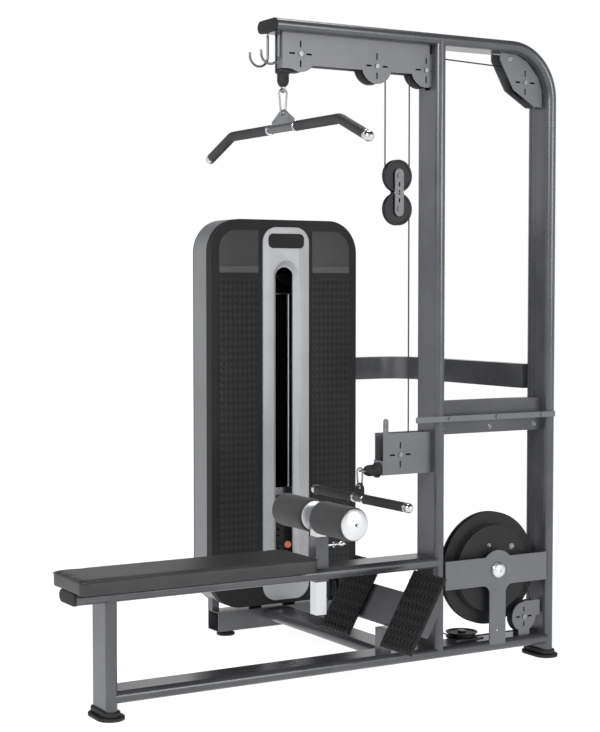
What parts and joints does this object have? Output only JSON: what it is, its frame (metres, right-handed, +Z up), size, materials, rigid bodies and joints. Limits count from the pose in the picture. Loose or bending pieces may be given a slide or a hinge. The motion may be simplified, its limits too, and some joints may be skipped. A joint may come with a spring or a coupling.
{
  "type": "lat pulldown machine",
  "caption": "Dual lat pulldown and low row machine with a bench, foot plates, roller pads, pulleys, drum and an enclosed weight stack.",
  "frame": {"origin": "on the floor, at the centre of the machine's bounding box seen from above", "axes": "+X from the bench towards the rear upright, +Y from the frame towards the weight tower, +Z up"},
  "size_m": [1.942, 1.6185, 2.25],
  "materials": {
    "frame_paint": "satin grey metallic powder coat",
    "bracket_paint": "satin grey powder coat on laser-cut plate",
    "shell_paint": "satin mid grey paint",
    "dark_plastic": "textured dark grey moulding",
    "silver_plastic": "silver sprayed moulding",
    "bright_steel": "bright plated steel",
    "black_rubber": "moulded black rubber",
    "grip_rubber": "ribbed black rubber sleeve over a steel tube",
    "seat_leather": "black upholstery leather",
    "foam": "closed-cell black foam",
    "weight_iron": "black painted cast iron",
    "knob_plastic": "orange knob",
    "wheel_nylon": "black nylon pulley",
    "drum_iron": "dark painted cast drum",
    "cable_sleeve": "black nylon sleeve over steel rope"
  },
  "bodies": {
    "frame": {"base_tube": "frame_paint", "front_leg": "frame_paint", "mid_upright": "frame_paint", "rear_upright": "frame_paint", "boom": "frame_paint", "end_caps": "dark_plastic", "seat_beam": "frame_paint", "cross_tube": "frame_paint", "tie_strap": "bracket_paint", "link_tube": "frame_paint", "floor_rail": "frame_paint", "tower_base": "frame_paint", "feet": "black_rubber", "boom_plates": "bracket_paint", "corner_plates": "bracket_paint", "row_bracket": "bracket_paint", "bar_hooks": "bright_steel", "drum_bracket": "bracket_paint", "base_brackets": "bracket_paint", "post_sleeve": "frame_paint", "tread_carrier": "frame_paint", "tread_plates": "dark_plastic", "seat_pad": "seat_leather", "tower_shell": "shell_paint", "front_panel": "dark_plastic", "tower_trim": "silver_plastic", "tower_back": "dark_plastic", "guide_rods": "bright_steel", "tower_gantry": "frame_paint", "pulley_axles": "bright_steel", "resting_plates": "weight_iron", "fixed_cables": "cable_sleeve", "lat_cable": "cable_sleeve", "stack_cable": "cable_sleeve", "block_cables": "cable_sleeve", "row_cable": "cable_sleeve"},
    "weight_stack": {"lifted_plates": "weight_iron", "selector_stem": "bright_steel"},
    "pin": {"selector_pin": "knob_plastic"},
    "front_pulley": {"front_pulley": "wheel_nylon"},
    "middle_pulley": {"middle_pulley": "wheel_nylon"},
    "rear_pulley": {"rear_pulley": "wheel_nylon"},
    "corner_pulley": {"corner_pulley": "wheel_nylon"},
    "drum": {"drum": "drum_iron"},
    "low_pulley": {"low_pulley": "wheel_nylon"},
    "guide_pulley": {"guide_pulley": "wheel_nylon"},
    "tower_low_pulley": {"tower_low_pulley": "wheel_nylon"},
    "tower_top_pulley": {"tower_top_pulley": "wheel_nylon"},
    "row_pulley": {"row_pulley": "wheel_nylon"},
    "block": {"block_frame": "bracket_paint"},
    "block_top_wheel": {"block_top_wheel": "wheel_nylon"},
    "block_low_wheel": {"block_low_wheel": "wheel_nylon"},
    "lat_clip": {"lat_clip": "bright_steel"},
    "lat_bar": {"lat_bar": "grip_rubber"},
    "row_clip": {"row_clip": "bright_steel"},
    "row_handle": {"row_handle": "grip_rubber"},
    "roller_post": {"roller_post": "bright_steel"},
    "roller_near": {"roller_near": "foam"},
    "roller_far": {"roller_far": "foam"},
    "pop_pin": {"pop_pin": "bright_steel"}
  },
  "joints": [
    {"name": "stack_lift", "type": "slide", "parent": "frame", "child": "weight_stack", "axis": [0, 0, 1], "range_m": [0, 0.6], "deforming": ["stack_cable"]},
    {"name": "selector_pin_pull", "type": "slide", "parent": "weight_stack", "child": "pin", "axis": [0, -1, 0], "range_m": [0, 0.13]},
    {"name": "lat_pull", "type": "slide", "parent": "frame", "child": "lat_clip", "axis": [0, 0, -1], "range_m": [0, 0.7965], "deforming": ["lat_cable"]},
    {"name": "lat_bar_swivel", "type": "hinge", "parent": "lat_clip", "child": "lat_bar", "pos_m": [-0.181, -0.27, 1.95], "axis": [0, 0, 1], "range_deg": [-45, 45]},
    {"name": "front_pulley_spin", "type": "hinge", "parent": "frame", "child": "front_pulley", "pos_m": [-0.129, -0.27, 2.143], "axis": [0, -1, 0], "range_deg": [-2, 877.4]},
    {"name": "middle_pulley_spin", "type": "hinge", "parent": "frame", "child": "middle_pulley", "pos_m": [0.175, -0.27, 2.123], "axis": [0, -1, 0], "range_deg": [-2, 877.4]},
    {"name": "rear_pulley_spin", "type": "hinge", "parent": "frame", "child": "rear_pulley", "pos_m": [0.38, -0.27, 2.123], "axis": [0, -1, 0], "range_deg": [-2, 877.4]},
    {"name": "corner_pulley_spin", "type": "hinge", "parent": "frame", "child": "corner_pulley", "pos_m": [0.817, -0.27, 2.108], "axis": [0, -1, 0], "range_deg": [-2, 877.4]},
    {"name": "drum_spin", "type": "hinge", "parent": "frame", "child": "drum", "pos_m": [0.677, -0.27, 0.348], "axis": [0, -1, 0], "range_deg": [-2, 239.1]},
    {"name": "low_pulley_spin", "type": "hinge", "parent": "frame", "child": "low_pulley", "pos_m": [0.817, -0.294, 0.16], "axis": [0, -1, 0], "range_deg": [-2, 663.1]},
    {"name": "guide_pulley_spin", "type": "hinge", "parent": "frame", "child": "guide_pulley", "pos_m": [0.585, -0.242, 0.108], "axis": [0, 0, 1], "range_deg": [-2, 663.1]},
    {"name": "tower_low_pulley_spin", "type": "hinge", "parent": "frame", "child": "tower_low_pulley", "pos_m": [0.533, 0.608, 0.16], "axis": [-1, 0, 0], "range_deg": [-2, 663.1]},
    {"name": "tower_top_pulley_spin", "type": "hinge", "parent": "frame", "child": "tower_top_pulley", "pos_m": [0.419, 0.66, 1.49], "axis": [0, -1, 0], "range_deg": [-303.6, 2]},
    {"name": "row_pull", "type": "slide", "parent": "frame", "child": "row_clip", "axis": [-0.97, 0, 0.243], "range_m": [0, 0.65], "deforming": ["row_cable"]},
    {"name": "block_drop", "type": "slide", "parent": "frame", "child": "block", "axis": [0, 0, -1], "range_m": [0, 0.652], "deforming": ["block_cables"]},
    {"name": "row_pulley_spin", "type": "hinge", "parent": "frame", "child": "row_pulley", "pos_m": [0.276, -0.27, 0.783], "axis": [0, -1, 0], "range_deg": [-718.2, 2]},
    {"name": "block_top_wheel_spin", "type": "hinge", "parent": "block", "child": "block_top_wheel", "pos_m": [0.2775, -0.27, 1.754], "axis": [0, -1, 0], "range_deg": [-739.5, 2]},
    {"name": "block_low_wheel_spin", "type": "hinge", "parent": "block", "child": "block_low_wheel", "pos_m": [0.2775, -0.27, 1.639], "axis": [0, -1, 0], "range_deg": [-739.5, 2]},
    {"name": "row_handle_swing", "type": "hinge", "parent": "row_clip", "child": "row_handle", "pos_m": [0.126, -0.27, 0.689], "axis": [0, 1, 0], "range_deg": [-3, 80]},
    {"name": "roller_height", "type": "slide", "parent": "frame", "child": "roller_post", "axis": [0, 0, 1], "range_m": [0, 0.1]},
    {"name": "roller_near_spin", "type": "hinge", "parent": "roller_post", "child": "roller_near", "pos_m": [-0.042, -0.3975, 0.585], "axis": [0, -1, 0], "continuous": true},
    {"name": "roller_far_spin", "type": "hinge", "parent": "roller_post", "child": "roller_far", "pos_m": [-0.042, -0.1425, 0.585], "axis": [0, -1, 0], "continuous": true},
    {"name": "pop_pin_pull", "type": "slide", "parent": "frame", "child": "pop_pin", "axis": [1, 0, 0], "range_m": [0, 0.012], "stiffness_N_per_m": 1500, "springref_m": -0.004}
  ],
  "couplings": [
    {"joint": "lat_pull", "follows": "stack_lift", "ratio": 1.3241},
    {"joint": "front_pulley_spin", "follows": "stack_lift", "rad_per_m": 25.464},
    {"joint": "middle_pulley_spin", "follows": "stack_lift", "rad_per_m": 25.464},
    {"joint": "rear_pulley_spin", "follows": "stack_lift", "rad_per_m": 25.464},
    {"joint": "corner_pulley_spin", "follows": "stack_lift", "rad_per_m": 25.464},
    {"joint": "drum_spin", "follows": "stack_lift", "rad_per_m": 6.8966},
    {"joint": "low_pulley_spin", "follows": "stack_lift", "rad_per_m": 19.231},
    {"joint": "guide_pulley_spin", "follows": "stack_lift", "rad_per_m": 19.231},
    {"joint": "tower_low_pulley_spin", "follows": "stack_lift", "rad_per_m": 19.231},
    {"joint": "tower_top_pulley_spin", "follows": "stack_lift", "rad_per_m": -8.7719},
    {"joint": "block_drop", "follows": "row_pull", "ratio": 1},
    {"joint": "row_pulley_spin", "follows": "row_pull", "rad_per_m": -19.231},
    {"joint": "block_top_wheel_spin", "follows": "row_pull", "rad_per_m": -19.802},
    {"joint": "block_low_wheel_spin", "follows": "row_pull", "rad_per_m": -19.802}
  ]
}
